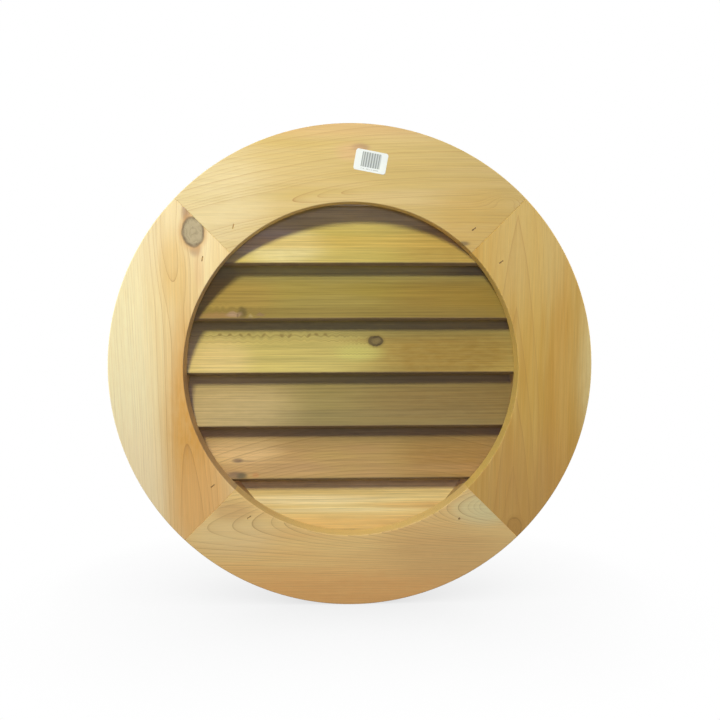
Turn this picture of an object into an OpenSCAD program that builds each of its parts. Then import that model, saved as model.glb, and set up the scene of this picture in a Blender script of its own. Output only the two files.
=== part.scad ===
// Round cedar gable vent: a mitred face ring, an octagonal sleeve that goes into the wall,
// fixed sloping slats, an insect screen on the back, and the staples that hold it together.
// The vent is drawn lying on its back, face up, and upright() stands it against the wall plane:
// +Z is up, +Y goes into the wall, and the origin is on the vent's axis in the wall plane.

/* [Face ring] */
// Clear diameter of the opening
opening_d = 352; // [320:0.1:400]
// Width of the ring's face, from the opening to the rim
ring_face = 78; // [70:0.1:100]
// Thickness of the ring's boards
ring_thick = 22.2; // [18:0.1:30]
// Depth of the rabbet in the ring's back that seats the sleeve
rabbet_depth = 3.2; // [2:0.1:6]
// Radius of the eased edges of the ring
ring_ease = 1; // [0.5:0.1:3]
// Depth of the V-groove along each mitre
mitre_groove = 0.4; // [0.2:0.1:1]

/* [Sleeve] */
// Step from the opening's edge out to the sleeve's inner face
sleeve_reveal = 4; // [2:0.1:10]
// Thickness of the sleeve's boards
sleeve_wall = 22; // [15:0.1:25]
// Depth of the sleeve's boards, front to back
sleeve_depth = 63.5; // [58:0.1:90]
// Clearance around the sleeve in its rabbet
seat_clearance = 0.2; // [0.1:0.05:0.5]

/* [Slats] */
// Width of a slat's board
slat_width = 76.2; // [70:0.1:90]
// Thickness of a slat's board
slat_thick = 6.35; // [5:0.05:12]
// Tilt of the slats from level
slat_tilt = 58; // [50:0.5:65]
// Clearance between the slats and the sleeve
slat_clearance = 0.15; // [0.1:0.05:0.4]
// Setback of the slats' front edges behind the ring
slat_setback = 0.3; // [0.2:0.1:2]
// Radius of the eased edges of a slat
slat_ease = 0.8; // [0.4:0.1:2]

/* [Screen] */
// Thickness of the screen
screen_thick = 1; // [0.8:0.1:2]
// Spacing of the screen's gaps
screen_pitch = 33; // [32:0.5:50]
// Width of the bars between the gaps
screen_bar = 3; // [2:0.1:5]
// Setback of the screen's edge from the sleeve's outer face
screen_inset = 4; // [2:0.1:7]

/* [Staples] */
// Width of a staple's crown
staple_crown = 5.1; // [4:0.1:9]
// Thickness of a staple's square wire
staple_wire = 1.2; // [0.8:0.1:1.6]
// Depth of a crown below the wood's face
staple_sink = 0.8; // [0.3:0.1:2]
// Clearance around a staple in the wood
staple_clearance = 0.05; // [0.03:0.01:0.1]
// Reach of a face staple into the sleeve
face_staple_reach = 11; // [8:0.5:14]
// Distance of a face staple from its mitre
face_staple_offset = 25; // [15:0.5:35]
// Width of the nail's head
nail_head = 2.4; // [1.8:0.1:4]
// Thickness of the nail's head
nail_head_thick = 1; // [0.5:0.1:1.5]
// Thickness of the nail's shank
nail_shank = 1.4; // [1:0.1:1.7]
// Reach of a slat staple into the slat's end
slat_staple_reach = 12; // [8:0.5:14]
// Distance of a slat staple from the slat's edge
slat_staple_edge = 20; // [16:0.5:26]
// Distance of a corner staple from the sleeve's outer corner
corner_staple_edge = 5; // [4:0.1:6]
// Width of a screen staple's crown
screen_staple_crown = 10; // [8:0.1:12]
// Thickness of a screen staple's square wire
screen_staple_wire = 0.8; // [0.6:0.1:1.2]
// Reach of a screen staple into the sleeve
screen_staple_reach = 8; // [5:0.5:10]

/* [Label] */
// Width of the label
label_w = 33; // [25:0.1:40]
// Height of the label
label_h = 21; // [18:0.1:30]
// Corner radius of the label
label_radius = 2.5; // [1:0.1:5]
// Thickness of the label
label_thick = 0.2; // [0.15:0.05:0.5]
// Distance of the label's middle outwards from the middle of the ring's face
label_out = 2; // [-10:0.5:10]
// Place of the label round the ring, clockwise from the top
label_angle = 5.2; // [-30:0.1:30]
// Turn of the label on the face, clockwise
label_turn = 10.5; // [-45:0.5:45]

/* [Hidden] */
CEDAR = "#c8a172";
PALE_CEDAR = "#d3b488";
SLAT_CEDAR = "#bf9a63";
SCREEN_STEEL = "#8d9093";
STAPLE_STEEL = "#77797c";
PAPER = "#e8eaf2";

CIRCLE_FACETS = 180;
EASE_STEPS = 4;
NAIL_FACETS = 24;
SIDES = 8;
SIDE_TURN = 360 / SIDES;
HALF_SIDE = SIDE_TURN / 2;
SLAT_COUNT = 6;
SLATS = [for (i = [1 : SLAT_COUNT]) str("slat_", i)];
RING_BOARDS = ["ring_right", "ring_top", "ring_left", "ring_bottom"];
RING_TURN = 360 / len(RING_BOARDS);
SLEEVE_BOARDS = [
    "sleeve_right", "sleeve_upper_right", "sleeve_top", "sleeve_upper_left",
    "sleeve_left", "sleeve_lower_left", "sleeve_bottom", "sleeve_lower_right"
];
FASTENERS = ["face_staples", "face_nail", "corner_staples", "slat_staples", "screen_staples"];

// Turn of the face staples' crowns at each mitre, from the upper right one anticlockwise
CROWN_TURNS = [36, 78, 36, 36];
// The mitre that has one nail in place of two staples
NAILED_MITRE = 3;
// Drift of what is driven by hand at each mitre, clockwise one first: along the ring, as a share of
// the distance from the mitre, and outwards, as a share of the sleeve's wall
FACE_DRIFTS = [
    [[-0.128, 0.009], [-0.36, 0.15]], [[0.136, 0.064], [-0.032, 0.05]],
    [[0.204, -0.055], [0.264, -0.159]], [[-0.208, 0.141]]
];
// Share of the sleeve's depth at which the corner staples sit
CORNER_DEPTHS = [0.25, 0.75];
// Share of a sleeve side's half length at which the screen staples sit
SCREEN_STAPLE_PLACES = [-0.55, 0.55];
// How far a cutting tool runs past the face that it cuts
OVERRUN = 1;

opening_r = opening_d / 2;
ring_r = opening_r + ring_face;
sleeve_in = opening_r + sleeve_reveal;
sleeve_out = sleeve_in + sleeve_wall;
sleeve_mid = sleeve_in + sleeve_wall / 2;
sleeve_back = rabbet_depth - sleeve_depth;
half_side_in = sleeve_in * tan(HALF_SIDE);
half_side_out = sleeve_out * tan(HALF_SIDE);
slat_room = sleeve_in - slat_clearance;
slat_front = rabbet_depth - slat_setback;
lowest_slat = -slat_room + slat_thick * cos(slat_tilt);
highest_slat = slat_room - slat_width * sin(slat_tilt);
slat_pitch = (highest_slat - lowest_slat) / (SLAT_COUNT - 1);
face_staple_leg = ring_thick - rabbet_depth - staple_sink + face_staple_reach;
slat_staple_leg = sleeve_wall - staple_sink + slat_clearance + slat_staple_reach;
corner_staple_leg = sleeve_wall - staple_sink - 2 * staple_wire;
screen_staple_leg = screen_staple_wire + screen_thick + screen_staple_reach;
label_radius_on_face = opening_r + ring_face / 2 + label_out;

// Points of a rounded corner round a centre
function corner(x, y, r, from) = [
    for (i = [0 : EASE_STEPS])
        let (a = from + 90 * i / EASE_STEPS)
        [x + r * cos(a), y + r * sin(a)]
];

// Outline of a rectangle from the origin, with all four corners rounded
function rounded(w, h, r) = concat(
    corner(r, r, r, 180), corner(w - r, r, r, 270),
    corner(w - r, h - r, r, 0), corner(r, h - r, r, 90)
);

// Height of a slat's lower front edge, counted from the top slat
function slat_edge(i) = highest_slat - (i - 1) * slat_pitch;

// Height and depth of a point on a slat's middle plane, at a distance up its width
function slat_middle(i, up) = [
    slat_edge(i) + up * sin(slat_tilt) - slat_thick / 2 * cos(slat_tilt),
    slat_front - up * cos(slat_tilt) - slat_thick / 2 * sin(slat_tilt)
];

// Turn of the sleeve board on the right that a slat's end meets at a height
function board_turn(height) = abs(height) <= half_side_in ? 0 : sign(height) * SIDE_TURN;

// Stands the vent up: its face looks along -Y
module upright() {
    rotate([90, 0, 0]) children();
}

// Flat-sided outline of the sleeve at a distance from the axis
module octagon(apothem) {
    rotate(HALF_SIDE) circle(r = apothem / cos(HALF_SIDE), $fn = SIDES);
}

// Staple with its crown along X, the crown's top at the origin and the legs down
module staple(crown, wire, leg) {
    translate([-crown / 2, -wire / 2, -wire]) cube([crown, wire, wire]);
    for (side = [0, 1])
        translate([-crown / 2 + side * (crown - wire), -wire / 2, -leg])
            cube([wire, wire, leg]);
}

// Room for a staple in the wood, open above the crown
module staple_room(crown, wire, leg) {
    gap = staple_clearance;
    translate([-crown / 2 - gap, -wire / 2 - gap, -wire - gap])
        cube([crown + 2 * gap, wire + 2 * gap, wire + gap + staple_sink + OVERRUN]);
    for (side = [0, 1])
        translate([-crown / 2 + side * (crown - wire) - gap, -wire / 2 - gap, -leg - gap])
            cube([wire + 2 * gap, wire + 2 * gap, leg]);
}

// Nail with its head's top at the origin and its shank down
module nail(leg, gap = 0) {
    translate([0, 0, -nail_head_thick - gap])
        cylinder(d = nail_head + 2 * gap, h = nail_head_thick + gap, $fn = NAIL_FACETS);
    translate([0, 0, -leg - gap])
        cylinder(d = nail_shank + 2 * gap, h = leg, $fn = NAIL_FACETS);
}

// Room for a nail in the wood, open above its head
module nail_room(leg) {
    gap = staple_clearance;
    nail(leg, gap);
    translate([0, 0, -gap])
        cylinder(d = nail_head + 2 * gap, h = staple_sink + OVERRUN, $fn = NAIL_FACETS);
}

// Place of a face staple or nail: one of the four mitres, and the side of it
module at_face(mitre, side) {
    turn = RING_TURN * (mitre + 0.5);
    drift = FACE_DRIFTS[mitre][side < 0 ? 0 : 1];
    rotate(turn)
        translate([
            sleeve_mid + drift[1] * sleeve_wall,
            (side + drift[0]) * face_staple_offset,
            ring_thick - staple_sink
        ])
            rotate(CROWN_TURNS[mitre] - turn) children();
}

// Place of a corner staple: driven through a diagonal board into the board beside it
module at_corner(board, side, depth) {
    rotate(SIDE_TURN * board)
        translate([
            sleeve_out - staple_sink,
            side * (half_side_out - corner_staple_edge),
            rabbet_depth - depth * sleeve_depth
        ])
            rotate([0, 90, 0]) children();
}

// Place of a slat staple: driven square through the sleeve, both legs in the slat's thickness
module at_slat(i, hand, up) {
    middle = slat_middle(i, up);
    turn = board_turn(middle[0]);
    depth_in_slat = sleeve_in - slat_staple_reach / 2;
    along = middle[0] / cos(turn) - depth_in_slat * tan(turn);
    crown_turn = atan2(cos(slat_tilt) * cos(turn), sin(slat_tilt));
    mirror([hand < 0 ? 1 : 0, 0, 0])
        rotate(turn)
            translate([sleeve_out - staple_sink, along, middle[1]])
                rotate([-crown_turn, 0, 0]) rotate([0, 90, 0]) rotate(90) children();
}

// Place of a screen staple: driven from the back into the edge of a sleeve board
module at_screen(board, place) {
    rotate(SIDE_TURN * board)
        translate([sleeve_mid, place * half_side_in, sleeve_back - screen_thick - screen_staple_wire])
            rotate([180, 0, 0]) rotate(90) children();
}

module face_room(mitre, side) {
    if (mitre != NAILED_MITRE)
        at_face(mitre, side) staple_room(staple_crown, staple_wire, face_staple_leg);
    else if (side < 0)
        at_face(mitre, side) nail_room(face_staple_leg);
}

module corner_staple_rooms(board) {
    for (side = [-1, 1], depth = CORNER_DEPTHS)
        at_corner(board, side, depth) staple_room(staple_crown, staple_wire, corner_staple_leg);
}

module slat_staple_rooms(i) {
    for (hand = [-1, 1], up = [slat_staple_edge, slat_width - slat_staple_edge])
        at_slat(i, hand, up) staple_room(staple_crown, staple_wire, slat_staple_leg);
}

module screen_staple_rooms(board) {
    for (place = SCREEN_STAPLE_PLACES)
        at_screen(board, place)
            staple_room(screen_staple_crown, screen_staple_wire, screen_staple_leg);
}

// Half of the V-groove that two boards share along their mitre, with room for the other half
module mitre_cut(turn) {
    size = mitre_groove * sqrt(2);
    rotate(turn)
        translate([opening_r + ring_face / 2, 0, ring_thick])
            rotate([45, 0, 0]) cube([ring_face + 2 * OVERRUN, size, size], center = true);
}

// Section of the ring from the opening out to the rim
module ring_section() {
    e = ring_ease;
    polygon(concat(
        [[opening_r, 0]],
        corner(ring_r - e, e, e, 270),
        corner(ring_r - e, ring_thick - e, e, 0),
        corner(opening_r + e, ring_thick - e, e, 90)
    ));
}

// A quarter of the face ring, mitred at both ends
module ring_board(board) {
    turn = RING_TURN * board;
    color(board % 2 == 0 ? PALE_CEDAR : CEDAR) upright() difference() {
        rotate(turn - RING_TURN / 2)
            rotate_extrude(angle = RING_TURN, $fn = CIRCLE_FACETS) ring_section();
        translate([0, 0, -OVERRUN])
            linear_extrude(rabbet_depth + OVERRUN) octagon(sleeve_out + seat_clearance);
        mitre_cut(turn - RING_TURN / 2);
        mitre_cut(turn + RING_TURN / 2);
        face_room(board, -1);
        face_room((board + len(RING_BOARDS) - 1) % len(RING_BOARDS), 1);
    }
}

// One side of the sleeve, mitred at both ends
module sleeve_board(board) {
    diagonal = board % 2 == 1;
    color(CEDAR) upright() difference() {
        translate([0, 0, sleeve_back]) rotate(SIDE_TURN * board) linear_extrude(sleeve_depth) polygon([
            [sleeve_in, -half_side_in], [sleeve_out, -half_side_out],
            [sleeve_out, half_side_out], [sleeve_in, half_side_in]
        ]);
        if (diagonal) {
            for (side = [-1, 1]) face_room((board - 1) / 2, side);
            corner_staple_rooms(board);
        } else {
            corner_staple_rooms(board - 1);
            corner_staple_rooms(board + 1);
        }
        for (i = [1 : SLAT_COUNT]) slat_staple_rooms(i);
        screen_staple_rooms(board);
    }
}

// A sloping slat, cut to the sleeve's inside
module slat(i) {
    color(SLAT_CEDAR) upright() difference() {
        intersection() {
            translate([0, slat_edge(i), slat_front])
                rotate([180 + slat_tilt, 0, 0]) rotate([0, -90, 0])
                    linear_extrude(2 * sleeve_out, center = true)
                        polygon(rounded(slat_width, slat_thick, slat_ease));
            translate([0, 0, sleeve_back]) linear_extrude(sleeve_depth) octagon(slat_room);
        }
        slat_staple_rooms(i);
    }
}

// Insect screen over the sleeve's back, drawn with coarse square gaps
module screen() {
    reach = ceil(sleeve_in / screen_pitch);
    color(SCREEN_STEEL) upright() difference() {
        translate([0, 0, sleeve_back - screen_thick]) linear_extrude(screen_thick) difference() {
            octagon(sleeve_out - screen_inset);
            intersection() {
                octagon(sleeve_in - screen_bar);
                for (col = [-reach : reach], row = [-reach : reach])
                    translate([col, row] * screen_pitch) square(screen_pitch - screen_bar, center = true);
            }
        }
        for (board = [0 : SIDES - 1]) screen_staple_rooms(board);
    }
}

// Staples through the ring into the sleeve, two at each mitre but one
module face_staples() {
    color(STAPLE_STEEL) upright() for (mitre = [0 : len(RING_BOARDS) - 1], side = [-1, 1])
        if (mitre != NAILED_MITRE)
            at_face(mitre, side) staple(staple_crown, staple_wire, face_staple_leg);
}

// Nail through the ring into the sleeve at the mitre without staples
module face_nail() {
    color(STAPLE_STEEL) upright() at_face(NAILED_MITRE, -1) nail(face_staple_leg);
}

// Staples across the sleeve's corners
module corner_staples() {
    color(STAPLE_STEEL) upright()
        for (board = [1 : 2 : SIDES - 1], side = [-1, 1], depth = CORNER_DEPTHS)
            at_corner(board, side, depth) staple(staple_crown, staple_wire, corner_staple_leg);
}

// Staples through the sleeve into the slats' ends
module slat_staples() {
    color(STAPLE_STEEL) upright() for (
        i = [1 : SLAT_COUNT], hand = [-1, 1], up = [slat_staple_edge, slat_width - slat_staple_edge]
    )
        at_slat(i, hand, up) staple(staple_crown, staple_wire, slat_staple_leg);
}

// Staples that hold the screen
module screen_staples() {
    color(STAPLE_STEEL) upright() for (board = [0 : SIDES - 1], place = SCREEN_STAPLE_PLACES)
        at_screen(board, place) staple(screen_staple_crown, screen_staple_wire, screen_staple_leg);
}

// Paper label stuck on the face, near the top
module label() {
    color(PAPER) upright()
        rotate(-label_angle) translate([0, label_radius_on_face, ring_thick])
            rotate(label_angle - label_turn) translate([-label_w / 2, -label_h / 2, 0])
                linear_extrude(label_thick) polygon(rounded(label_w, label_h, label_radius));
}

for (i = [0 : len(RING_BOARDS) - 1])
    ring_board(i);
for (i = [0 : SIDES - 1])
    sleeve_board(i);
for (i = [1 : SLAT_COUNT])
    slat(i);
face_staples();
face_nail();
corner_staples();
slat_staples();
screen_staples();
screen();
label();
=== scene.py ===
"""Dresses the round cedar gable vent: grain for every board, welded wire, label, staples and studio."""

from __future__ import annotations

import logging
import math
from dataclasses import dataclass
from enum import Enum
from typing import Any, Callable, Mapping, Sequence, Union

import bpy
from mathutils import Matrix, Vector


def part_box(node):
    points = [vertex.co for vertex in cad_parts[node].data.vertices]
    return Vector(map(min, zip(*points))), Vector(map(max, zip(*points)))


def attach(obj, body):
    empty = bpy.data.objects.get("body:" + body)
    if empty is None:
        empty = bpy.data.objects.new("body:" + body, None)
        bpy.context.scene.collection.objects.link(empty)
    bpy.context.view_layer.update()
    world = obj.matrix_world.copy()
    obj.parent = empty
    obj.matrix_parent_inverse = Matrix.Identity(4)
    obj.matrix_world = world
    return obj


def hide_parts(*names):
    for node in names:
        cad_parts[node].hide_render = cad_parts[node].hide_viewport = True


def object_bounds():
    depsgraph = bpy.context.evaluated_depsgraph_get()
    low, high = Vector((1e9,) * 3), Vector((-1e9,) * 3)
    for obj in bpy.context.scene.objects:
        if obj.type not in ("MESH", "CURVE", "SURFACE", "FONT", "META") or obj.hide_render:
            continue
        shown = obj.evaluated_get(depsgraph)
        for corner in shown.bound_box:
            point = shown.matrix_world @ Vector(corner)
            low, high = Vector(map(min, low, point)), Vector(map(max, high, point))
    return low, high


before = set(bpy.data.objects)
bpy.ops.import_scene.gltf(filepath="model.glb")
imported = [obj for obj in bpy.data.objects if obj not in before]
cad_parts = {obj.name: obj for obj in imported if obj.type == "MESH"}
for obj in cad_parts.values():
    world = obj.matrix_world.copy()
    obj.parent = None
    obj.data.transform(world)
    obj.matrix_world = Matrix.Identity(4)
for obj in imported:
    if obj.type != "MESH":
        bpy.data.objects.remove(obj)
cad_low, cad_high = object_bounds()

LOG = logging.getLogger("gable_vent")
MM = 0.001
BODY = "root"

# Noise lies about this level.
NOISE_MIDDLE = 0.5

Socket = bpy.types.NodeSocket
Material = bpy.types.Material
Shape = bpy.types.Object
# A colour is written as a colour picker shows it, in six hexadecimal digits.
Colour = str
Point = tuple[float, float, float]
Span = tuple[float, float]
Fed = Union["Value", Socket, float, Colour, Sequence[float]]
Settings = Union[Mapping[str, Any], None]
Inputs = Union[Mapping[Any, Fed], None]


def paint(code: Colour) -> tuple[float, float, float, float]:
    """Turns a written colour into the shader's own numbers, by the usual curve of screens.

    Args:
        code: the written colour.

    Returns:
        Linear red, green, blue and full alpha.
    """
    shares = [int(code[i:i + 2], 16) / 255 for i in (0, 2, 4)]
    linear = [s / 12.92 if s <= 0.04045 else ((s + 0.055) / 1.055) ** 2.4 for s in shares]
    return (linear[0], linear[1], linear[2], 1.0)


def maths(operation: str, last: bool = False) -> Callable[..., Value]:
    """Makes a method of Value that adds a Math node.

    Args:
        operation: the node's operation.
        last: whether the value comes after the other term.

    Returns:
        The method, which takes the other terms and gives the node's result.
    """

    def method(self: Value, *others: Fed) -> Value:
        """Adds the node."""
        terms = (*others, self) if last else (self, *others)
        return self.shader.value("Math", {"operation": operation}, dict(enumerate(terms)))

    return method


class Value:
    """A number that varies over a surface: a shader socket with arithmetic."""

    def __init__(self, shader: Shader, socket: Socket) -> None:
        """Wraps a socket of a shader."""
        self.shader = shader
        self.socket = socket

    __add__ = maths("ADD")
    __radd__ = maths("ADD", last=True)
    __sub__ = maths("SUBTRACT")
    __mul__ = maths("MULTIPLY")
    __rmul__ = maths("MULTIPLY", last=True)
    __truediv__ = maths("DIVIDE")
    __pow__ = maths("POWER")
    root = maths("SQRT")
    exp = maths("EXPONENT")
    whole = maths("FLOOR")
    part = maths("FRACT")
    sine = maths("SINE")
    at_least = maths("MAXIMUM")
    at_most = maths("MINIMUM")

    def fall(self) -> Value:
        """Smooth fall from 1 at zero towards nothing."""
        return (-1.0 * self).exp()

    def step(self, start: float, end: float) -> Value:
        """Smooth change from 0 at the start to 1 at the end, which may be the lower of the two."""
        inputs = {"Value": self, "From Min": start, "From Max": end}
        return self.shader.value("MapRange", {"interpolation_type": "SMOOTHSTEP"}, inputs)


class Shader:
    """The node tree of one material, or of the world."""

    def __init__(self, name: str, world: bpy.types.World | None = None) -> None:
        """Starts an empty tree in a new material, or in a world.

        Args:
            name: the material's name.
            world: the world, where the tree is not a material's.
        """
        self.material = world or bpy.data.materials.new(name)
        self.material.use_nodes = True
        self.tree = self.material.node_tree
        self.tree.nodes.clear()

    def add(self, kind: str, settings: Settings = None, inputs: Inputs = None) -> bpy.types.Node:
        """Adds any node.

        Args:
            kind: the node's type, without the ShaderNode that starts it.
            settings: its own settings, such as an operation, set first.
            inputs: the values, links or written colours of its sockets, by name or number.

        Returns:
            The new node.
        """
        node = self.tree.nodes.new("ShaderNode" + kind)
        for name, setting in (settings or {}).items():
            setattr(node, name, setting)
        for key, given in (inputs or {}).items():
            socket = node.inputs[key]
            if isinstance(given, Value):
                self.tree.links.new(given.socket, socket)
            elif isinstance(given, Socket):
                self.tree.links.new(given, socket)
            elif isinstance(given, Colour):
                socket.default_value = paint(given)
            else:
                socket.default_value = given
        return node

    def value(self, kind: str, settings: Settings, inputs: Inputs) -> Value:
        """Adds a node, and takes its first output as a number."""
        return Value(self, self.add(kind, settings, inputs).outputs[0])

    def place(self) -> Socket:
        """Object coordinates in millimetres."""
        place = self.add("TexCoord").outputs["Object"]
        return self.add("VectorMath", {"operation": "SCALE"}, {0: place, "Scale": 1 / MM}).outputs[0]

    def along(self, place: Socket, axis: Point, start: float) -> Value:
        """Distance of a place along a unit direction, from a start, in millimetres."""
        node = self.add("VectorMath", {"operation": "DOT_PRODUCT"}, {0: place, 1: axis})
        return Value(self, node.outputs["Value"]) - start

    def vector(self, x: Fed, y: Fed, z: Fed) -> Socket:
        """A vector from three numbers."""
        return self.add("CombineXYZ", None, {0: x, 1: y, 2: z}).outputs[0]

    def noise(self, place: Socket, detail: float = 2.0, roughness: float = 0.5) -> Value:
        """Smooth noise at a scaled place: detail adds finer layers, and roughness strengthens them."""
        inputs = {"Vector": place, "Scale": 1.0, "Detail": detail, "Roughness": roughness}
        return self.value("TexNoise", None, inputs)

    def chance(self, number: Value, seed: float) -> Value:
        """A random share from 0 to 1 for each whole number."""
        spot = self.vector(number, seed, 0.0)
        return self.value("TexWhiteNoise", {"noise_dimensions": "2D"}, {0: spot})

    def mix(self, share: Fed, first: Fed, second: Fed, blend: str = "MIX") -> Socket:
        """Mixes two colours: the share is how much of the second is laid over the first."""
        settings = {"data_type": "RGBA", "blend_type": blend}
        return self.add("Mix", settings, {0: share, 6: first, 7: second}).outputs[2]

    def bump(self, height: Value, depth_mm: float) -> Socket:
        """Surface relief from a height between 0 and 1, of a depth in millimetres."""
        return self.add("Bump", None, {"Distance": depth_mm * MM, "Height": height}).outputs[0]

    def finish(self, inputs: Mapping[str, Fed]) -> Material:
        """Closes the tree with a Principled shader.

        Args:
            inputs: what the shader's sockets take.

        Returns:
            The finished material.
        """
        surface = self.add("BsdfPrincipled", None, inputs).outputs[0]
        self.add("OutputMaterial", None, {"Surface": surface})
        return self.material


@dataclass(frozen=True)
class Spot:
    """Place on a board's face, with its half sizes, in millimetres."""

    along: float
    across: float
    half_length: float
    half_width: float

    def spread(self, u: Value, v: Value) -> Value:
        """How far out of the spot a point lies.

        Args:
            u: the point's place along the grain.
            v: its place across it.

        Returns:
            Square of the distance from the middle, 1 at the half sizes.
        """
        du = (u - self.along) / self.half_length
        dv = (v - self.across) / self.half_width
        return du * du + dv * dv


@dataclass(frozen=True)
class Knot(Spot):
    """Branch that went through a board, square to its face; reaches as shares of its own size."""

    wake: float
    core: Colour = "bbab8c"
    rim: Colour = "75634c"
    halo: Colour = "d9a870"
    rim_start: float = 0.74
    rim_full: float = 0.96
    rim_fade: Span = (1.16, 1.0)
    rim_share: float = 0.75
    rim_rag: float = 1.2
    rim_least: float = 0.2
    push: float = 0.85
    push_width: float = 1.6
    rag: float = 0.35
    rag_size: float = 6.0
    years: float = 2.7
    years_rag: float = 2.0
    years_power: float = 3.0
    years_share: float = 0.4
    core_rag: float = 0.6
    core_fade: Span = (1.06, 0.9)
    halo_fade: Span = (1.6, 0.95)
    halo_share: float = 0.7
    halo_rag: float = 0.8

    def parted(self, u: Value, v: Value) -> Value:
        """Place across the grain once it has parted round the knot.

        Args:
            u: place along the grain.
            v: place across it.

        Returns:
            The place that the layer had before the branch pushed it aside.
        """
        du = (u - self.along) / self.wake
        dv = v - self.across
        aside = dv / (self.push_width * self.half_width)
        return v - self.push * dv * (du * du + aside * aside).fall()


@dataclass(frozen=True)
class Swell(Spot):
    """Rise in the growth layers, which closes the grain into loops on the face."""

    lift: float


@dataclass(frozen=True)
class Tint(Spot):
    """Patch of another colour that fades out into the board."""

    colour: Colour
    share: float


@dataclass(frozen=True)
class Ripple(Spot):
    """Short waves in the growth layers along a strip of a board."""

    pitch: float
    height: float
    drift: float = 9.0


class Opens(Enum):
    """Which way along the grain the pointed arches of a flat-sawn board open."""

    FORWARD = 1.0
    BACKWARD = -1.0


@dataclass(frozen=True)
class Pith:
    """The log's heart line before a board's face.

    The lean and the arch shift it across the grain, the rise and the bow bring it nearer to the face,
    and the point makes the arches on the face pointed.
    """

    across: float
    depth: float
    centre: float = 0.0
    lean: float = 0.0
    arch: float = 0.0
    start: float = 0.0
    opens: Opens = Opens.FORWARD
    rise: float = 0.0
    bow: float = 0.0
    point: float = 0.0


@dataclass(frozen=True)
class Bore:
    """Fresh-cut edge round the opening, of another colour than the face, along some of the board."""

    radius: float
    colour: Colour
    share: float
    along: float = 0.0
    half_length: float = 400.0
    falloff: float = 4.0
    fade: Span = (0.35, 0.1)


@dataclass(frozen=True)
class PaintedInnerShade:
    """Painted shade on a board's inner side, from some depth below its outer face."""

    depth: float
    colour: Colour
    share: float
    fade: float = 1.0


@dataclass(frozen=True)
class Axes:
    """Directions of a board: along the grain, across its face and in from it; starts in millimetres."""

    along: Point
    across: Point
    inward: Point
    across_start: float = 0.0
    inward_start: float = 0.0


@dataclass(frozen=True)
class Figure:
    """Uneven figure in the wood: its length and width in millimetres, and how finely it is broken up."""

    length: float
    width: float
    detail: float = 2.0
    roughness: float = 0.5


@dataclass(frozen=True)
class Growth:
    """What all cedar has in common: how its layers lie, show and wear; sizes in millimetres."""

    slow_drift: Figure = Figure(210, 70, 1.0)
    slow_reach: float = 2.5
    quick_drift: Figure = Figure(52, 17)
    quick_reach: float = 0.55
    layer_drift: float = 3.0
    layer_drift_length: float = 7.0
    faintest: float = 0.4
    line_power: float = 13.0
    line_end: float = 0.98
    band_power: float = 3.0
    band_end: float = 0.94
    band_share: float = 0.3
    fibre: Figure = Figure(34, 0.7, 3.0, 0.6)
    fibre_rise: Span = (0.25, 0.75)
    streak_length: float = 160.0
    cloud_length: float = 150.0
    soft_rise: Span = (0.3, 0.7)
    ticks: Figure = Figure(5, 0.45, 1.0)
    tick_rise: Span = (0.62, 0.78)
    tick_share: float = 0.08
    mottle: Figure = Figure(14, 5, 3.0)
    mottle_least: float = 0.7
    mottle_range: float = 0.6
    saw_length: float = 1.6
    saw_width: float = 26.0
    smoothest: float = 0.52
    roughness_range: float = 0.22
    gloss: float = 0.35
    fibre_relief: float = 0.6
    line_relief: float = 0.3
    relief: float = 0.06


CEDAR = Growth()


@dataclass(frozen=True)
class CedarFinish:
    """Bare cedar of one board, cut from a log with growth layers, knots and patches of colour."""

    name: str
    axes: Axes
    pith: Pith
    early: Colour
    late: Colour
    pale: Colour
    seed: float
    layer: float = 1.8
    line_share: float = 0.5
    streak_share: float = 0.03
    fibre_share: float = 0.05
    streak_width: float = 1.6
    cloud_width: float = 30.0
    calm: float = 0.0
    wander: float = 4.5
    sawn: float = 0.0
    knots: tuple[Knot, ...] = ()
    swells: tuple[Swell, ...] = ()
    ripples: tuple[Ripple, ...] = ()
    tints: tuple[Tint, ...] = ()
    bore: Bore | None = None
    painted_inner_shade: PaintedInnerShade | None = None

    def build(self) -> Material:
        """Makes the board's own cedar."""
        return Timber(self).build()


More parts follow.
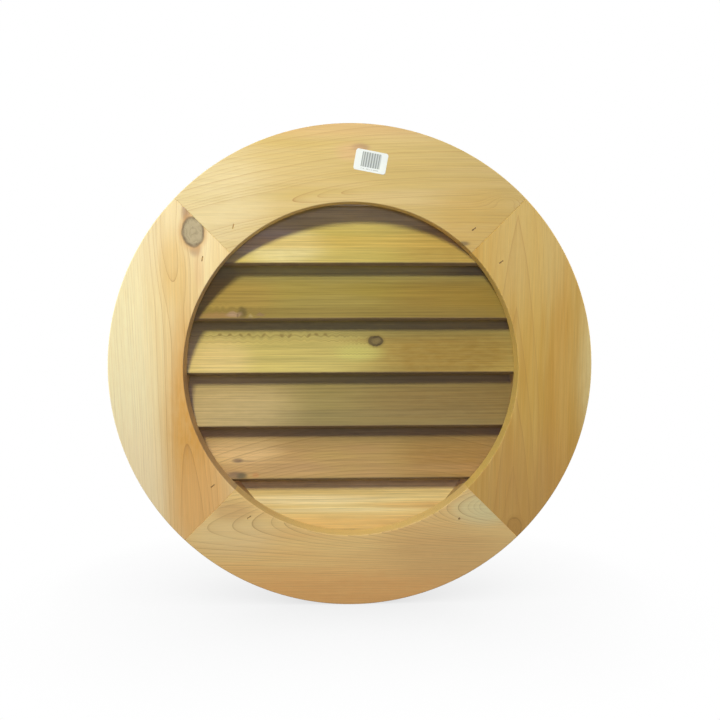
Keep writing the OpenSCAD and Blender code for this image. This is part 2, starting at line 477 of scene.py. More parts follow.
class Timber(Shader):
    """The node tree of one board: u runs along the grain, v across the face and w below it."""

    def __init__(self, look: CedarFinish) -> None:
        """Finds where a point lies in the board, once its ripples have moved it.

        Args:
            look: the board's finish.
        """
        super().__init__(look.name)
        self.look = look
        place = self.place()
        self.u = self.along(place, look.axes.along, 0.0)
        self.v = self.along(place, look.axes.across, look.axes.across_start)
        self.w = self.along(place, look.axes.inward, look.axes.inward_start)
        for ripple in look.ripples:
            uneven = self.noise(self.vector(self.u / (2 * ripple.pitch) + look.seed, 0.0, 0.0), detail=1.0)
            turns = self.u * (2 * math.pi / ripple.pitch) + uneven * ripple.drift
            wave = turns.sine() * uneven * (2.0 * ripple.height)
            self.v = self.v + ripple.spread(self.u, self.v).fall() * wave

    def _figure(self, figure: Figure) -> Value:
        """Smooth noise drawn out along the grain.

        Args:
            figure: its sizes.

        Returns:
            The noise.
        """
        along = self.u / figure.length + self.look.seed
        spot = self.vector(along, self.v / figure.width, self.w / figure.width)
        return self.noise(spot, figure.detail, figure.roughness)

    def _layers(self) -> tuple[Value, Value]:
        """Distance out from the log's heart, which is the same all over one year's layer.

        Returns:
            The distance in millimetres, and how flat the layers lie there, from 0 to 1.
        """
        look = self.look
        pith = look.pith
        slow = self._figure(CEDAR.slow_drift) - NOISE_MIDDLE
        quick = self._figure(CEDAR.quick_drift) - NOISE_MIDDLE
        moved = self.v + slow * (CEDAR.slow_reach * look.wander) + quick * (CEDAR.quick_reach * look.wander)
        for knot in look.knots:
            moved = knot.parted(self.u, moved)
        run = self.u - pith.centre
        onward = ((self.u - pith.start) * pith.opens.value).at_least(0.0)
        aside = moved - pith.across - run * pith.lean - run * run * pith.arch
        deep = self.w + pith.depth - onward * pith.rise - onward * onward * pith.bow
        square = aside * aside
        if pith.point:
            square = (square * square + square * pith.point ** 2).root()
        distance = (square + deep * deep).root()
        flat = deep * deep / (distance * distance)
        for swell in look.swells:
            distance = distance + swell.spread(self.u, moved).fall() * swell.lift
        return distance, flat

    def _late_wood(self) -> tuple[Value, Value]:
        """The dark end of each year's layer.

        Returns:
            The sharp line at the layer's end, and the soft band before it.
        """
        look = self.look
        distance, flat = self._layers()
        uneven = self.noise(self.vector(distance / CEDAR.layer_drift_length, look.seed, 0.0), detail=1.0)
        years = distance / look.layer + uneven * CEDAR.layer_drift
        season = years.part()
        strong = CEDAR.faintest + (1.0 - CEDAR.faintest) * self.chance(years.whole(), look.seed)
        strong = strong * (1.0 - look.calm + flat * look.calm)
        line = season ** CEDAR.line_power * season.step(1.0, CEDAR.line_end) * strong
        band = season ** CEDAR.band_power * season.step(1.0, CEDAR.band_end) * (CEDAR.band_share * strong)
        return line, band

    def _patched(self, colour: Socket) -> Socket:
        """Lays the patches, the cut edge and the painted shade of the inner side over the board's colour.

        Args:
            colour: the colour so far.

        Returns:
            The colour with all of them in it.
        """
        u, v, w = self.u, self.v, self.w
        mottle = self._figure(CEDAR.mottle) * CEDAR.mottle_range + CEDAR.mottle_least
        for tint in self.look.tints:
            spread = tint.spread(u, v)
            share = (spread * spread).fall() * mottle * tint.share
            colour = self.mix(share.at_most(1.0), colour, tint.colour)
        bore = self.look.bore
        if bore:
            outer, inner = bore.fade
            edge = (u * u + v * v).root().step(bore.radius + outer, bore.radius + inner)
            run = (u - bore.along) / bore.half_length
            colour = self.mix(edge * ((run ** bore.falloff).fall() * bore.share), colour, bore.colour)
        painted_inner_shade = self.look.painted_inner_shade
        if painted_inner_shade:
            # Painted shade: the inner side darker, as the shaded faces inside the sleeve look.
            painted_shade = w.step(painted_inner_shade.depth - painted_inner_shade.fade, painted_inner_shade.depth) * painted_inner_shade.share
            colour = self.mix(painted_shade, colour, painted_inner_shade.colour)
        return colour

    def _knotted(self, knot: Knot, colour: Socket) -> Socket:
        """Lays a knot over the board's colour.

        Args:
            knot: the knot.
            colour: the colour so far.

        Returns:
            The colour with the knot in it.
        """
        spot = self.vector(self.u / knot.rag_size, self.v / knot.rag_size, self.look.seed)
        ragged = self.noise(spot, detail=3.0) - NOISE_MIDDLE
        out = knot.spread(self.u, self.v).root() + ragged * knot.rag
        years = (out * knot.years + ragged * knot.years_rag).part()
        halo = out.step(*knot.halo_fade) * (knot.halo_share + ragged * knot.halo_rag)
        colour = self.mix(halo.at_least(0.0), colour, knot.halo)
        dark = years ** knot.years_power * knot.years_share + ragged * knot.core_rag
        core = self.mix(dark.at_least(0.0), knot.core, knot.rim)
        colour = self.mix(out.step(*knot.core_fade), colour, core)
        rim = out.step(knot.rim_start, knot.rim_full) * out.step(*knot.rim_fade)
        share = (knot.rim_share + ragged * knot.rim_rag).at_least(knot.rim_least)
        return self.mix(rim * share, colour, knot.rim)

    def build(self) -> Material:
        """Makes the material.

        Returns:
            The board's own cedar.
        """
        look = self.look
        line, band = self._late_wood()
        fibre = self._figure(CEDAR.fibre)
        streak = self._figure(Figure(CEDAR.streak_length, look.streak_width))
        ticks = self._figure(CEDAR.ticks).step(*CEDAR.tick_rise)
        clouds = self._figure(Figure(CEDAR.cloud_length, look.cloud_width))
        colour = self._patched(self.mix(clouds.step(*CEDAR.soft_rise), look.early, look.pale))
        colour = self.mix(line.at_least(band) * look.line_share, colour, look.late)
        shade = fibre.step(*CEDAR.fibre_rise) * look.fibre_share
        shade = shade + streak.step(*CEDAR.soft_rise) * look.streak_share
        level = 2 * shade + (1.0 - look.fibre_share - look.streak_share)
        colour = self.mix(1.0, colour, self.vector(level, level, level), "MULTIPLY")
        colour = self.mix(ticks * CEDAR.tick_share, colour, look.late)
        for knot in look.knots:
            colour = self._knotted(knot, colour)
        height = fibre * CEDAR.fibre_relief + line * CEDAR.line_relief
        if look.sawn:
            across = self.v / CEDAR.saw_width
            below = self.w / CEDAR.saw_width + look.seed
            height = height + self.noise(self.vector(self.u / CEDAR.saw_length, across, below)) * look.sawn
        return self.finish({
            "Base Color": colour,
            "Roughness": CEDAR.smoothest + fibre * CEDAR.roughness_range,
            "Specular IOR Level": CEDAR.gloss,
            "Normal": self.bump(height, CEDAR.relief),
        })


class Side(Enum):
    """The four boards of the face ring."""

    RIGHT = "ring_right"
    TOP = "ring_top"
    LEFT = "ring_left"
    BOTTOM = "ring_bottom"


LEVEL = (1.0, 0.0, 0.0)
UPRIGHT = (0.0, 0.0, 1.0)
INTO_WALL = (0.0, 1.0, 0.0)


def dress(node: str, material: Material) -> None:
    """Gives a CAD node its finish.

    Args:
        node: the node's name.
        material: what its slots take.
    """
    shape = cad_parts[node]
    if not shape.material_slots:
        shape.data.materials.append(material)
    for slot in shape.material_slots:
        slot.material = material
    LOG.info("%s: %s", node, material.name)


@dataclass
class FaceRing:
    """Four mitred boards round the opening, two with level grain and two with upright grain."""

    face_y: float = cad_low.y / MM
    bore_radius: float = 176.0
    late: Colour = "b07c45"

    def _finishes(self) -> list[CedarFinish]:
        """The four boards' finishes.

        Returns:
            The right, top, left and lower board's, from what each shows on its face.
        """
        level = Axes(LEVEL, UPRIGHT, INTO_WALL, inward_start=self.face_y)
        upright = Axes(UPRIGHT, LEVEL, INTO_WALL, inward_start=self.face_y)
        pink = "e6b98a"
        cream = "fff1c4"
        orange = "dfa348"
        plum = "a5826a"
        stain = "7d6a4e"
        top = CedarFinish(
            "cedar_ring_top", level,
            Pith(191.4, 11, centre=100, arch=-0.00054, start=-75, rise=0.097, bow=-0.00025),
            "d6ba75", self.late, "dec386", seed=3.1,
            layer=3.4, line_share=1.0, calm=0.2, cloud_width=14, wander=2.6,
            swells=(Swell(160, 178, 21, 9, 12.0),),
            tints=(
                Tint(-20, 256, 190, 16, pink, 0.45), Tint(-150, 180, 66, 60, "fff3d0", 0.38),
                Tint(9, 230, 9, 4, plum, 0.7), Tint(0, 226, 16, 9, pink, 0.5),
                Tint(130, 150, 52, 46, "d8b262", 0.7), Tint(115, 134, 7, 2.4, stain, 0.8),
            ),
            bore=Bore(self.bore_radius, "e0bf7c", 0.5),
        )
        left = CedarFinish(
            "cedar_ring_left", upright,
            Pith(-176, 36.7, centre=-20, lean=-0.04, start=70, opens=Opens.BACKWARD, rise=0.03),
            "f0d194", self.late, "fce5ae", seed=7.4,
            layer=3.4, line_share=0.9, calm=0.75, cloud_width=12, wander=3.0,
            knots=(Knot(145.8, -161.7, 14.5, 11.0, 28.0),),
            swells=(Swell(150, -184, 75, 20, -7.5),),
            tints=(
                Tint(20, -240, 260, 36, cream, 0.95), Tint(170, -196, 70, 70, "f8e6c2", 0.55),
                Tint(-130, -228, 80, 38, "ffe7ba", 0.55),
                Tint(-60, -166, 120, 29, orange, 0.88), Tint(-150, -158, 66, 34, "efbb73", 0.9),
                Tint(108, -182, 40, 16, "e8bf74", 0.6),
                Tint(164, -168, 12, 5, plum, 0.8), Tint(128, -160, 7, 6, plum, 0.6),
                Tint(108, -156, 22, 5, pink, 0.35),
            ),
            bore=Bore(self.bore_radius, "c2a47a", 0.6),
        )
        right = CedarFinish(
            "cedar_ring_right", upright,
            Pith(172, 60, start=189.5, opens=Opens.BACKWARD, rise=0.043, point=22),
            "d3a54c", self.late, "deb864", seed=12.8,
            layer=3.4, line_share=0.62, calm=0.5, cloud_width=9, wander=3.0,
            tints=(
                Tint(145, 190, 80, 50, "e5c67e", 0.75), Tint(-140, 190, 80, 60, "ce9f58", 0.7),
                Tint(-20, 222, 140, 12, orange, 0.25), Tint(10, 266, 110, 25, "f3dc98", 0.9),
                Tint(20, 190, 150, 13, "dfb455", 0.35),
            ),
            knots=(Knot(-169, 176, 11.0, 7.5, 9.0, "c6984f", "b18545", "c6994f", 0.88),),
            bore=Bore(self.bore_radius, "f2d27c", 0.9),
        )
        bottom = CedarFinish(
            "cedar_ring_bottom", level,
            Pith(-165, 62, centre=-156, lean=0.067, start=-212, rise=0.026, bow=0.00028),
            "f2c77f", "93652f", "f6d289", seed=18.3,
            layer=1.8, line_share=0.95, calm=0.4, cloud_width=12, wander=2.2,
            tints=(
                Tint(0, -244, 220, 34, "eeb26a", 0.75), Tint(100, -196, 70, 30, "dcb070", 0.6),
                Tint(142, -148, 34, 18, "eadaa0", 0.95), Tint(-130, -175, 50, 24, "f0d8a0", 0.5),
                Tint(-128, -148, 22, 11, "d8af74", 0.7),
            ),
            # Painted shade: the pale cut edge fades out towards the lower left, where that part of the bore
            # lies in shade.
            bore=Bore(self.bore_radius, "ffdc90", 1.0, 40, 115),
        )
        return [right, top, left, bottom]

    def build(self) -> None:
        """Dresses the four boards."""
        for side, finish in zip(Side, self._finishes()):
            dress(side.value, finish.build())


@dataclass
class Louvre:
    """Six fixed slats, sloping down towards the face."""

    tilt: float = math.radians(58)
    thick: float = 6.35
    count: int = 6
    late: Colour = "94703c"
    scallops: tuple[float, ...] = (-144, -133, -121, -112, -96, -76, -67, -46, -38, -28)

    def _axes(self, node: str) -> Axes:
        """Grain directions of a slat.

        Args:
            node: the slat's node.

        Returns:
            Its directions, measured from its lower front edge.
        """
        low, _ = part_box(node)
        up = Vector((0.0, math.cos(self.tilt), math.sin(self.tilt)))
        under = Vector((0.0, math.sin(self.tilt), -math.cos(self.tilt)))
        edge = Vector((0.0, low.y / MM, low.z / MM + self.thick * math.cos(self.tilt)))
        return Axes(LEVEL, tuple(up), tuple(under), edge.dot(up), edge.dot(under))

    def _finishes(self) -> list[CedarFinish]:
        """The six slats' finishes.

        Returns:
            One for each slat, from the top down.
        """
        olive = "a3914d"
        brown = "9e7d37"
        yellow = "cfbc6f"
        pink = "c09763"
        plum = "7a6252"
        axes = [self._axes(f"slat_{i + 1}") for i in range(self.count)]
        straight = Pith(-120, 70)
        fine = {"streak_share": 0.13, "fibre_share": 0.1, "streak_width": 2.4, "line_share": 0.7}
        # Paler left ends and browner right ends on the slats are partly the wood's own tone and partly
        # painted light falling off from left to right.
        slat_1 = CedarFinish(
            "cedar_slat_1", axes[0], straight, "c7b461", self.late, yellow, seed=23.0,
            layer=2.2, wander=2.0, **fine,
            tints=(
                # Painted sheen: the pale patch at the left of the top slat, where the lamp glares on it.
                Tint(-75, 22, 46, 24, "f0e3ae", 0.8), Tint(105, 18, 60, 36, "b39047", 0.6),
                Tint(0, 26, 300, 9, "d9b964", 0.5), *self._painted_edge_and_band_shade("e0d285"),
            ),
        )
        slat_2 = CedarFinish(
            "cedar_slat_2", axes[1], Pith(-90, 60), "a28e41", self.late, olive, seed=27.0,
            layer=2.0, wander=2.4, **fine,
            ripples=(Ripple(-135, 12, 28, 7, 8.0, 1.0), Ripple(-108, 7, 14, 6, 9.0, 1.6)),
            tints=(
                Tint(110, 20, 70, 50, brown, 0.6), Tint(-125, 24, 44, 40, "a98c49", 0.7),
                Tint(-20, 6, 300, 8, "8a763c", 0.6), Tint(-144, 3, 20, 4, "a98156", 0.6),
                Tint(-116, 7, 5, 7, "62532f", 0.8), Tint(-125, 4.5, 8, 3.4, "b3947c", 0.8),
                Tint(-121, 3.5, 1.2, 3, "6b5740", 0.6), Tint(-107, 2, 2.6, 1.8, "b09c6c", 0.7),
                Tint(-97, 4, 5, 2.2, "8c7055", 0.7), *self._painted_edge_and_band_shade("8f8a5a"),
            ),
        )
        slat_3 = CedarFinish(
            "cedar_slat_3", axes[2], Pith(30, 34), "c8b86d", self.late, yellow, seed=31.0,
            layer=2.0, wander=4.0, **fine,
            knots=(Knot(27.5, 38.0, 7.6, 6.2, 30.0, "84724a", "4a3d2a", "85713f", 0.3),),
            ripples=(Ripple(-75, 43, 85, 9, 10.3, 1.4), Ripple(0, 33, 22, 13, 4.4, 1.0)),
            tints=(
                Tint(105, 25, 95, 60, brown, 0.85), Tint(8, 24, 26, 11, "d8d67c", 0.5),
                Tint(-145, 14, 36, 30, "e6cc8c", 0.8), *self._painted_edge_and_band_shade("908755", 34),
                Tint(-80, 45, 90, 1.0, "7d6b3d", 0.2),
                *(Tint(at, 46, 2.4, 1.7, "6f5830", 0.55) for at in self.scallops),
            ),
        )
        slat_4 = CedarFinish(
            "cedar_slat_4", axes[3], Pith(-110, 80), "9a8952", self.late, "a4935c", seed=35.0,
            layer=1.9, wander=2.6, **fine,
            tints=(
                Tint(115, 30, 110, 70, "8c7140", 0.75), Tint(-30, 14, 160, 5, "897950", 0.4),
                Tint(-10, 3, 300, 5, "8d7c4e", 0.6), Tint(-135, 26, 72, 60, "c8b07e", 0.85),
                *self._painted_edge_and_band_shade("867a4d"),
            ),
        )
        slat_5 = CedarFinish(
            "cedar_slat_5", axes[4], Pith(-30, 46, centre=32, arch=-0.00106), "c2a25f", "7c592b", pink,
            seed=39.0, layer=3.0, wander=3.0, **{**fine, "line_share": 0.75, "streak_share": 0.09},
            tints=(
                # The pale patch at the left is partly painted sheen and partly the wood's own paler tone.
                Tint(110, 30, 60, 60, "a67c3c", 0.7), Tint(-122, 34, 44, 20, "e4bf88", 0.9),
                Tint(100, 10, 60, 6, "c39a60", 0.5), Tint(-80, 12, 60, 10, "c9a06e", 0.6),
                Tint(-125.5, 20.9, 6, 2.7, plum, 0.75), Tint(-118, 20, 12, 1.2, plum, 0.3),
                Tint(-127, 4, 10, 4.5, plum, 0.8), Tint(-120, 3, 6, 4, "5f5640", 0.8),
                Tint(-105, 4, 4, 3, "c98f58", 0.7), *self._painted_edge_and_band_shade("8a7747", 36),
            ),
        )
        slat_6 = CedarFinish(
            "cedar_slat_6", axes[5], straight, "e5c880", self.late, "efd792", seed=43.0,
            layer=2.4, wander=2.0, **{**fine, "line_share": 0.5},
            tints=(
                Tint(-60, 34, 100, 6, "fbf0c6", 0.4), Tint(-30, 22, 110, 3, "fbeec2", 0.3),
                Tint(20, 3, 200, 14, "e8bd70", 0.85), Tint(80, 27, 60, 4, "e2b468", 0.6),
                *self._painted_edge_and_band_shade("927d43"),
            ),
        )
        return [slat_1, slat_2, slat_3, slat_4, slat_5, slat_6]

    def _painted_edge_and_band_shade(self, band_shadow_colour: Colour, reach: float = 30.0) -> tuple[Tint, ...]:
        """Painted shade on a slat: its cut front edge darkened, partly the sawn edge's own darker tone, and
        a strip at its top in the colour of the shadow cast there by the slat above, or by the ring over the
        top slat.

        Args:
            band_shadow_colour: the strip's painted shadow colour.
            reach: how far it fades down the slat, in millimetres.

        Returns:
            Their tints.
        """
        return (
            # Painted shade: the front edge darker, as it looks where the lamps leave it in shade; partly
            # the sawn edge's own tone.
            Tint(0, -1, 400, 1.6, "7d6946", 1.0),
            # Painted shadow: the strip that the slat above shades, in that shadow's colour.
            Tint(0, 76, 400, reach, band_shadow_colour, 1.0),
        )

    def build(self) -> None:
        """Dresses the six slats."""
        for i, finish in enumerate(self._finishes()):
            dress(f"slat_{i + 1}", finish.build())


@dataclass
class Sleeve:
    """Eight sawn boards behind the ring, which go into the wall."""

    boards: tuple[str, ...] = (
        "sleeve_right", "sleeve_upper_right", "sleeve_top", "sleeve_upper_left",
        "sleeve_left", "sleeve_lower_left", "sleeve_bottom", "sleeve_lower_right",
    )
    # The second and fourth pairs, which the diagonal boards take, are paler: partly the boards' own tone,
    # partly painted light on the lower diagonal boards' inner faces, which show lit beside the lowest slat.
    shades: tuple[tuple[Colour, Colour], ...] = (
        ("d0a367", "d9b47c"), ("cfa368", "d8b27a"), ("d8b582", "dfc291"), ("dcb878", "e4c58c"),
    )
    out_face: float = 202.0
    # Painted shade on the inner faces, which show in shade between the slats.
    painted_inner_shade: PaintedInnerShade = PaintedInnerShade(21.5, "98794a", 0.45)
    first_pith: float = 25.0
    pith_step: float = -9.0
    first_seed: float = 50.0
    seed_step: float = 3.7

    def _finish(self, number: int) -> CedarFinish:
        """The finish of one board.

        Args:
            number: the board's number, counted anticlockwise from the right.

        Returns:
            Its sawn cedar.
        """
        turn = 2 * math.pi * number / len(self.boards)
        run = (-math.sin(turn), 0.0, math.cos(turn))
        inward = (-math.cos(turn), 0.0, -math.sin(turn))
        early, pale = self.shades[number % len(self.shades)]
        pith = Pith(self.first_pith + self.pith_step * number, 40, rise=0.04)
        axes = Axes(run, INTO_WALL, inward, 0.0, -self.out_face)
        return CedarFinish(
            f"cedar_{self.boards[number]}", axes, pith, early, "9f6f41", pale,
            seed=self.first_seed + self.seed_step * number, sawn=0.5, painted_inner_shade=self.painted_inner_shade,
        )

    def build(self) -> None:
        """Dresses the eight boards."""
        for number, board in enumerate(self.boards):
            dress(board, self._finish(number).build())


@dataclass(frozen=True)
class SteelFinish:
    """Zinc-coated wire, dulled unevenly."""

    name: str
    bright: Colour
    dull: Colour
    roughness: float
    roughness_range: float = 0.2
    spangle_size: float = 2.5
    spangle_rise: Span = (0.35, 0.7)
    spangle_share: float = 0.6
    cloud_size: float = 40.0
    cloud_share: float = 0.4
    metallic: float = 0.85
    relief: float = 0.03

    def build(self) -> Material:
        """Makes the material.

        Returns:
            The zinc-coated steel.
        """
        shader = Shader(self.name)
        place = shader.place()
        x, y, z = (shader.along(place, axis, 0.0) for axis in (LEVEL, INTO_WALL, UPRIGHT))
        spangle = shader.noise(shader.vector(*(at / self.spangle_size for at in (x, y, z))), detail=3.0)
        cloud = shader.noise(shader.vector(*(at / self.cloud_size for at in (x, y, z))))
        worn = spangle.step(*self.spangle_rise) * self.spangle_share + cloud * self.cloud_share
        return shader.finish({
            "Base Color": shader.mix(worn, self.bright, self.dull),
            "Metallic": self.metallic,
            "Roughness": self.roughness + spangle * self.roughness_range,
            "Normal": shader.bump(spangle, self.relief),
        })


@dataclass(frozen=True)
class LabelFinish:
    """Coated white paper with a block of plain upright bars."""

    name: str
    centre: Point
    turn: float
    paper: Colour = "eef4f6"
    ink: Colour = "838b8d"
    bars_x: Span = (-9.6, 10.0)
    bars_z: Span = (-6.4, 8.6)
    bars_share: float = 0.5
    block_share: float = 0.42
    bar_pitch: float = 2.5
    bar_rise: Span = (-0.1, 0.15)
    beat: float = 5.3
    beat_share: float = 0.45
    rule_x: Span = (-9.8, 10.2)
    rule_z: Span = (-8.7, -7.5)
    rule_share: float = 0.45
    dash: float = 0.9
    dash_rise: Span = (0.3, 0.35)
    dash_seed: float = 9.0
    edge: float = 0.15
    fibre_size: float = 1.5
    fibre_colour: Colour = "d5dbe4"
    fibre_share: float = 0.15
    roughness: float = 0.38
    roughness_range: float = 0.12
    relief: float = 0.02

    def _within(self, x: Value, stretch: Span) -> Value:
        """1 inside a stretch and 0 outside it."""
        low, high = stretch
        return x.step(low, low + self.edge) * x.step(high, high - self.edge)

    def build(self) -> Material:
        """Makes the material.

        Returns:
            The printed paper.
        """
        shader = Shader(self.name)
        place = shader.place()
        across = (math.cos(self.turn), 0.0, -math.sin(self.turn))
        up = (math.sin(self.turn), 0.0, math.cos(self.turn))
        centre = Vector(self.centre)
        x = shader.along(place, across, centre.dot(Vector(across)))
        z = shader.along(place, up, centre.dot(Vector(up)))
        block = self._within(x, self.bars_x) * self._within(z, self.bars_z)
        wave = (x * (2 * math.pi / self.bar_pitch)).sine()
        wave = wave + self.beat_share * (x * (self.beat / self.bar_pitch)).sine()
        bars = wave.step(*self.bar_rise)
        rule = self._within(x, self.rule_x) * self._within(z, self.rule_z)
        dashes = shader.chance((x / self.dash).whole(), self.dash_seed).step(*self.dash_rise)
        fibre = shader.noise(shader.vector(x / self.fibre_size, z / self.fibre_size, 0.0), detail=3.0)
        tint = shader.mix(fibre * self.fibre_share, self.paper, self.fibre_colour)
        tint = shader.mix(block * (self.block_share + self.bars_share * bars), tint, self.ink)
        tint = shader.mix(rule * dashes * self.rule_share, tint, self.ink)
        return shader.finish({
            "Base Color": tint,
            "Roughness": self.roughness + fibre * self.roughness_range,
            "Normal": shader.bump(fibre, self.relief),
        })


def deselect() -> None:
    """Leaves nothing selected, so that the next operator acts on the new shape alone."""
    if bpy.context.object and bpy.context.object.mode != "OBJECT":
        bpy.ops.object.mode_set(mode="OBJECT")
    bpy.ops.object.select_all(action="DESELECT")


def settle(shape: Shape, name: str) -> None:
    """Puts a shape's place, turn and size into its mesh.

    Args:
        shape: the active, selected shape.
        name: its new name.
    """
    bpy.ops.object.transform_apply(location=True, rotation=True, scale=True)
    shape.name = name
    shape.data.name = name


def apply_modifier(shape: Shape, kind: str, settings: Mapping[str, Any]) -> None:
    """Adds a modifier and applies it.

    Args:
        shape: the active shape.
        kind: the modifier's type.
        settings: its settings.
    """
    modifier = shape.modifiers.new(kind.lower(), kind)
    for name, setting in settings.items():
        setattr(modifier, name, setting)
    bpy.ops.object.modifier_apply(modifier=modifier.name)


@dataclass
class WireScreen:
    """Welded wire cloth over the sleeve's back, cut to an octagon."""

    wire: float = 0.64
    mesh: float = 6.35
    sides: int = 8
    wire_sides: int = 6
    wire_spare: float = 1.1
    sheet_spare: float = 1.05
    steps: int = 30
    sway: float = 0.12
    sway_turn: float = 1.9
    sway_in: float = 0.4
    weld: float = 0.85
    smooth: float = math.radians(50)
    name: str = "wire_screen"

    def _wire(self, half: float) -> Shape:
        """Draws one level wire as an extruded ring.

        Args:
            half: half of its length in metres.

        Returns:
            The wire, centred on the origin along X.
        """
        deselect()
        bpy.ops.mesh.primitive_circle_add(
            vertices=self.wire_sides, radius=self.wire / 2 * MM, fill_type="NGON",
            location=(-half, 0.0, 0.0), rotation=(0.0, math.pi / 2, 0.0),
        )
        shape = bpy.context.object
        settle(shape, self.name)
        bpy.ops.object.mode_set(mode="EDIT")
        bpy.ops.mesh.select_all(action="SELECT")
        step = 2 * half / self.steps
        for number in range(self.steps):
            sway = self.sway * MM * math.sin(number * self.sway_turn)
            move = (step, sway * self.sway_in, sway)
            bpy.ops.mesh.extrude_region_move(TRANSFORM_OT_translate={"value": move})
        bpy.ops.mesh.select_all(action="SELECT")
        bpy.ops.mesh.normals_make_consistent(inside=False)
        bpy.ops.object.mode_set(mode="OBJECT")
        return shape

    def _sheet(self, shape: Shape, half: float) -> None:
        """Repeats a wire up the sheet and lays a turned copy of the rows over it.

        Args:
            shape: the wire.
            half: half of the sheet's height in metres.
        """
        rows = 2 * int(half / (self.mesh * MM)) + 1
        apply_modifier(shape, "ARRAY", {
            "count": rows, "use_relative_offset": False, "use_constant_offset": True,
            "constant_offset_displace": (0.0, 0.0, self.mesh * MM),
        })
        shape.location.z = -(rows - 1) / 2 * self.mesh * MM
        settle(shape, self.name)
        bpy.ops.object.duplicate()
        turned = bpy.context.object
        turned.rotation_euler.y = math.pi / 2
        turned.location.y = self.wire * MM * self.weld
        bpy.ops.object.transform_apply(location=True, rotation=True, scale=True)
        shape.select_set(True)
        bpy.context.view_layer.objects.active = shape
        bpy.ops.object.join()

    def _trim(self, apothem: float) -> None:
        """Cuts the sheet to the octagon and closes the wires' ends.

        Args:
            apothem: the octagon's distance from its middle to each side, in metres.
        """
        bpy.ops.object.mode_set(mode="EDIT")
        for side in range(self.sides):
            turn = 2 * math.pi * side / self.sides
            normal = (math.cos(turn), 0.0, math.sin(turn))
            bpy.ops.mesh.select_all(action="SELECT")
            bpy.ops.mesh.bisect(
                plane_co=tuple(apothem * n for n in normal), plane_no=normal,
                use_fill=True, clear_outer=True, clear_inner=False,
            )
        bpy.ops.object.mode_set(mode="OBJECT")

    def build(self, finish: Material) -> None:
        """Makes the screen in place of its plain sheet.

        Args:
            finish: the wire's material.
        """
        low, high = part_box("screen")
        half = (high.x - low.x) / 2
        shape = self._wire(half * self.wire_spare)
        self._sheet(shape, half * self.sheet_spare)
        self._trim(half)
        shape.location.y = low.y + self.wire / 2 * MM
        settle(shape, self.name)
        bpy.ops.object.shade_smooth_by_angle(angle=self.smooth)
        shape.data.materials.append(finish)
        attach(shape, BODY)
        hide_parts("screen")
        LOG.info("%s: %d faces", self.name, len(shape.data.polygons))


@dataclass
class PaperLabel:
    """Small stuck-on label near the top of the face, one corner lifting a little."""

    width: float = 33.0
    height: float = 21.0
    corner: float = 2.5
    thick: float = 0.12
    turn: float = math.radians(10.5)
    lift: float = 0.5
    lift_from: float = 0.86
    lift_reach: float = 11.0
    grid: tuple[int, int] = (14, 10)
    cuts: int = 5
    name: str = "paper_label"

    def _round_corners(self) -> None:
        """Cuts the four corners of the active sheet round."""
        bpy.ops.object.mode_set(mode="EDIT")
        inner = (self.width / 2 - self.corner, self.height / 2 - self.corner)
        for right in (-1, 1):
            for up in (-1, 1):
                for cut in range(self.cuts):
                    turn = math.pi / 2 * (cut + 0.5) / self.cuts
                    normal = (right * math.cos(turn), 0.0, up * math.sin(turn))
                    middle = Vector((right * inner[0], 0.0, up * inner[1]))
                    spot = (middle + self.corner * Vector(normal)) * MM
                    bpy.ops.mesh.select_all(action="SELECT")
                    bpy.ops.mesh.bisect(plane_co=spot, plane_no=normal, clear_outer=True)
        bpy.ops.object.mode_set(mode="OBJECT")

    def _lift_corner(self, shape: Shape) -> None:
        """Draws the lower right corner off the wood, and the paper round it less and less.

        Args:
            shape: the flat sheet.
        """
        bpy.ops.object.mode_set(mode="EDIT")
        bpy.ops.mesh.select_all(action="DESELECT")
        bpy.ops.object.mode_set(mode="OBJECT")
        for vertex in shape.data.vertices:
            reach = vertex.co.x / (self.width * MM) - vertex.co.z / (self.height * MM)
            vertex.select = reach > self.lift_from
        bpy.ops.object.mode_set(mode="EDIT")
        bpy.ops.transform.translate(
            value=(0.0, -self.lift * MM, 0.0), use_proportional_edit=True,
            proportional_edit_falloff="SMOOTH", proportional_size=self.lift_reach * MM,
        )
        bpy.ops.object.mode_set(mode="OBJECT")

    def build(self) -> None:
        """Makes the label in place of its plain solid."""
        low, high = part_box("label")
        centre = (low + high) / 2
        deselect()
        bpy.ops.mesh.primitive_grid_add(
            x_subdivisions=self.grid[0], y_subdivisions=self.grid[1], size=1.0,
            rotation=(math.pi / 2, 0.0, 0.0),
        )
        shape = bpy.context.object
        shape.scale = (self.width * MM, self.height * MM, 1.0)
        settle(shape, self.name)
        self._round_corners()
        self._lift_corner(shape)
        apply_modifier(shape, "SOLIDIFY", {"thickness": self.thick * MM, "offset": 1.0})
        shape.rotation_euler.y = self.turn
        shape.location = (centre.x, high.y, centre.z)
        settle(shape, self.name)
        finish = LabelFinish("printed_label", tuple(c / MM for c in centre), self.turn)
        shape.data.materials.append(finish.build())
        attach(shape, BODY)
        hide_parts("label")
        LOG.info("%s: %d faces", self.name, len(shape.data.polygons))


def aim_at(data: bpy.types.ID, place: Point, aim: Point, roll: float = 0.0) -> Shape:
    """Hangs a lamp or a camera so that it faces a point.

    Args:
        data: its data, whose name it takes.
        place: where it hangs, in millimetres.
        aim: the point it faces, in millimetres.
        roll: its turn about the line to that point.

    Returns:
        The lamp or camera.
    """
    shape = bpy.data.objects.new(data.name, data)
    shape.location = Vector(place) * MM
    shape.rotation_mode = "QUATERNION"
    look = (Vector(aim) - Vector(place)).to_track_quat("-Z", "Y")
    shape.rotation_quaternion = look @ Matrix.Rotation(roll, 3, "Z").to_quaternion()
    bpy.context.scene.collection.objects.link(shape)
    return shape


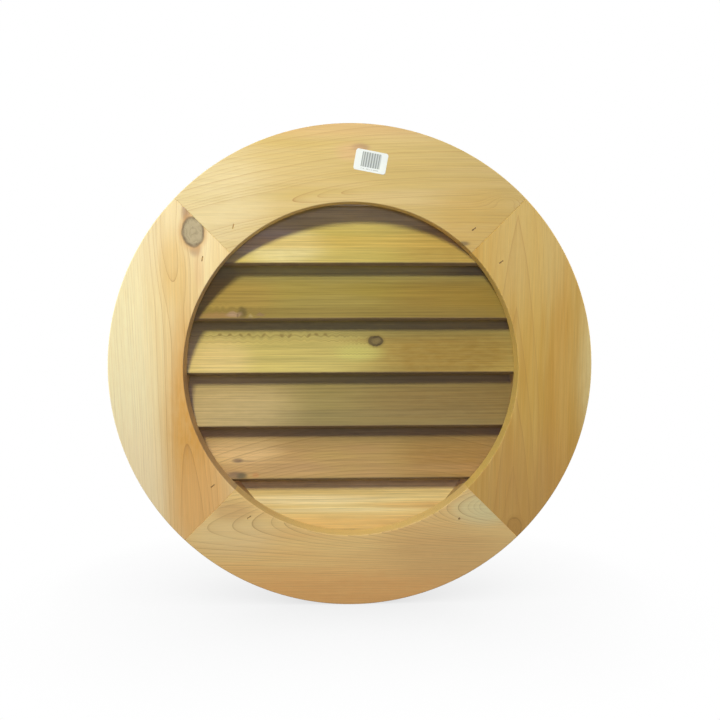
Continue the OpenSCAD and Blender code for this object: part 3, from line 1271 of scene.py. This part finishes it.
@dataclass(frozen=True)
class Lamp:
    """Round lamp: its place in millimetres, its diameter in metres and its light in watts."""

    name: str
    place: Point
    size: float
    power: float
    colour: Point

    def hang(self, aim: Point) -> None:
        """Hangs the lamp.

        Args:
            aim: the point it faces, in millimetres.
        """
        data = bpy.data.lights.new(self.name, "AREA")
        data.shape = "DISK"
        data.size = self.size
        data.energy = self.power
        data.color = self.colour
        aim_at(data, self.place, aim)


@dataclass
class Studio:
    """White room round the vent: floor, lamps and the camera at the photograph's view."""

    camera_place: Point = (-19.3, -747.4, 84.2)
    aim: Point = (0.0, -22.2, 0.0)
    roll: float = math.radians(-0.09)
    lens: float = 34.8
    sensor: float = 36.0
    clip: float = 0.01
    shift: tuple[float, float] = (0.0114, 0.0184)
    lamps: tuple[Lamp, ...] = (
        Lamp("key", (-215.0, -770.0, 458.0), 0.15, 5.7, (1.0, 0.965, 0.56)),
        Lamp("fill", (-20.0, -790.0, 130.0), 0.12, 1.95, (0.32, 0.37, 1.0)),
        Lamp("back", (300.0, 1400.0, 95.0), 0.15, 15.0, (1.0, 0.98, 0.94)),
        Lamp("left", (-1300.0, 65.0, 450.0), 0.15, 11.0, (1.0, 0.98, 0.94)),
        Lamp("right", (1300.0, 65.0, 450.0), 0.15, 11.0, (1.0, 0.98, 0.94)),
    )
    ambient: Point = (0.15, 0.155, 0.2)
    floor_half: float = 30.0
    floor_grey: float = 0.12
    shade_reach: float = 0.22
    shade_rays: int = 12
    darkest: float = 0.72

    def _camera(self) -> None:
        """Places the camera."""
        data = bpy.data.cameras.new("camera")
        data.lens = self.lens
        data.sensor_width = self.sensor
        data.shift_x, data.shift_y = self.shift
        data.clip_start = self.clip
        bpy.context.scene.camera = aim_at(data, self.camera_place, self.aim, self.roll)

    def _seen(self, shader: Shader) -> Value:
        """Tells rays that show a surface from rays that light it.

        Args:
            shader: the tree to build in.

        Returns:
            1 for a ray that shows it, straight on, in a mirror or through glass, and 0 for the rest.
        """
        path = shader.add("LightPath")
        kinds = ("Camera", "Glossy", "Transmission")
        camera, glossy, through = (Value(shader, path.outputs[f"Is {kind} Ray"]) for kind in kinds)
        return camera.at_least(glossy).at_least(through)

    def _world(self) -> None:
        """White all round to the eye, and an even soft light on the vent."""
        world = bpy.data.worlds.new("white_room")
        shader = Shader(world.name, world)
        colour = shader.mix(self._seen(shader), (*self.ambient, 1.0), (1.0, 1.0, 1.0, 1.0))
        light = shader.add("Background", None, {"Color": colour})
        shader.add("OutputWorld", None, {"Surface": light.outputs[0]})
        bpy.context.scene.world = world

    def _floor(self) -> None:
        """Lays a white floor that darkens where the vent stands near it."""
        deselect()
        bpy.ops.mesh.primitive_plane_add(size=2 * self.floor_half, location=(0.0, 0.0, cad_low.z))
        floor = bpy.context.object
        settle(floor, "floor")
        shader = Shader("white_floor")
        settings = {"samples": self.shade_rays}
        near = shader.add("AmbientOcclusion", settings, {"Distance": self.shade_reach})
        shade = self.darkest + (1.0 - self.darkest) * Value(shader, near.outputs["AO"])
        pale = shader.vector(shade, shade, shade)
        white = shader.add("Emission", None, {"Color": pale}).outputs[0]
        grey = (self.floor_grey, self.floor_grey, self.floor_grey, 1.0)
        matt = shader.add("BsdfDiffuse", None, {"Color": grey}).outputs[0]
        both = shader.add("MixShader", None, {0: self._seen(shader), 1: matt, 2: white})
        shader.add("OutputMaterial", None, {"Surface": both.outputs[0]})
        floor.data.materials.append(shader.material)

    def build(self) -> None:
        """Sets the room, the light and the camera."""
        self._camera()
        self._floor()
        self._world()
        for lamp in self.lamps:
            lamp.hang(self.aim)
        bpy.context.scene.view_settings.view_transform = "Standard"
        LOG.info("studio: camera, floor and %d lamps", len(self.lamps))


def main() -> None:
    """Builds the vent's sub-assemblies and the studio."""
    logging.basicConfig(level=logging.INFO, format="%(message)s")
    Studio().build()
    FaceRing().build()
    Louvre().build()
    Sleeve().build()
    bright_wire = SteelFinish("zinc_wire", "b9bcbf", "8f9396", 0.32)
    dark_wire = SteelFinish("staple_wire", "9c8053", "6d5534", 0.45)
    WireScreen().build(bright_wire.build())
    PaperLabel().build()
    staple_finish = dark_wire.build()
    for node in ("face_staples", "face_nail", "corner_staples", "slat_staples", "screen_staples"):
        dress(node, staple_finish)


if __name__ == "__main__":
    main()
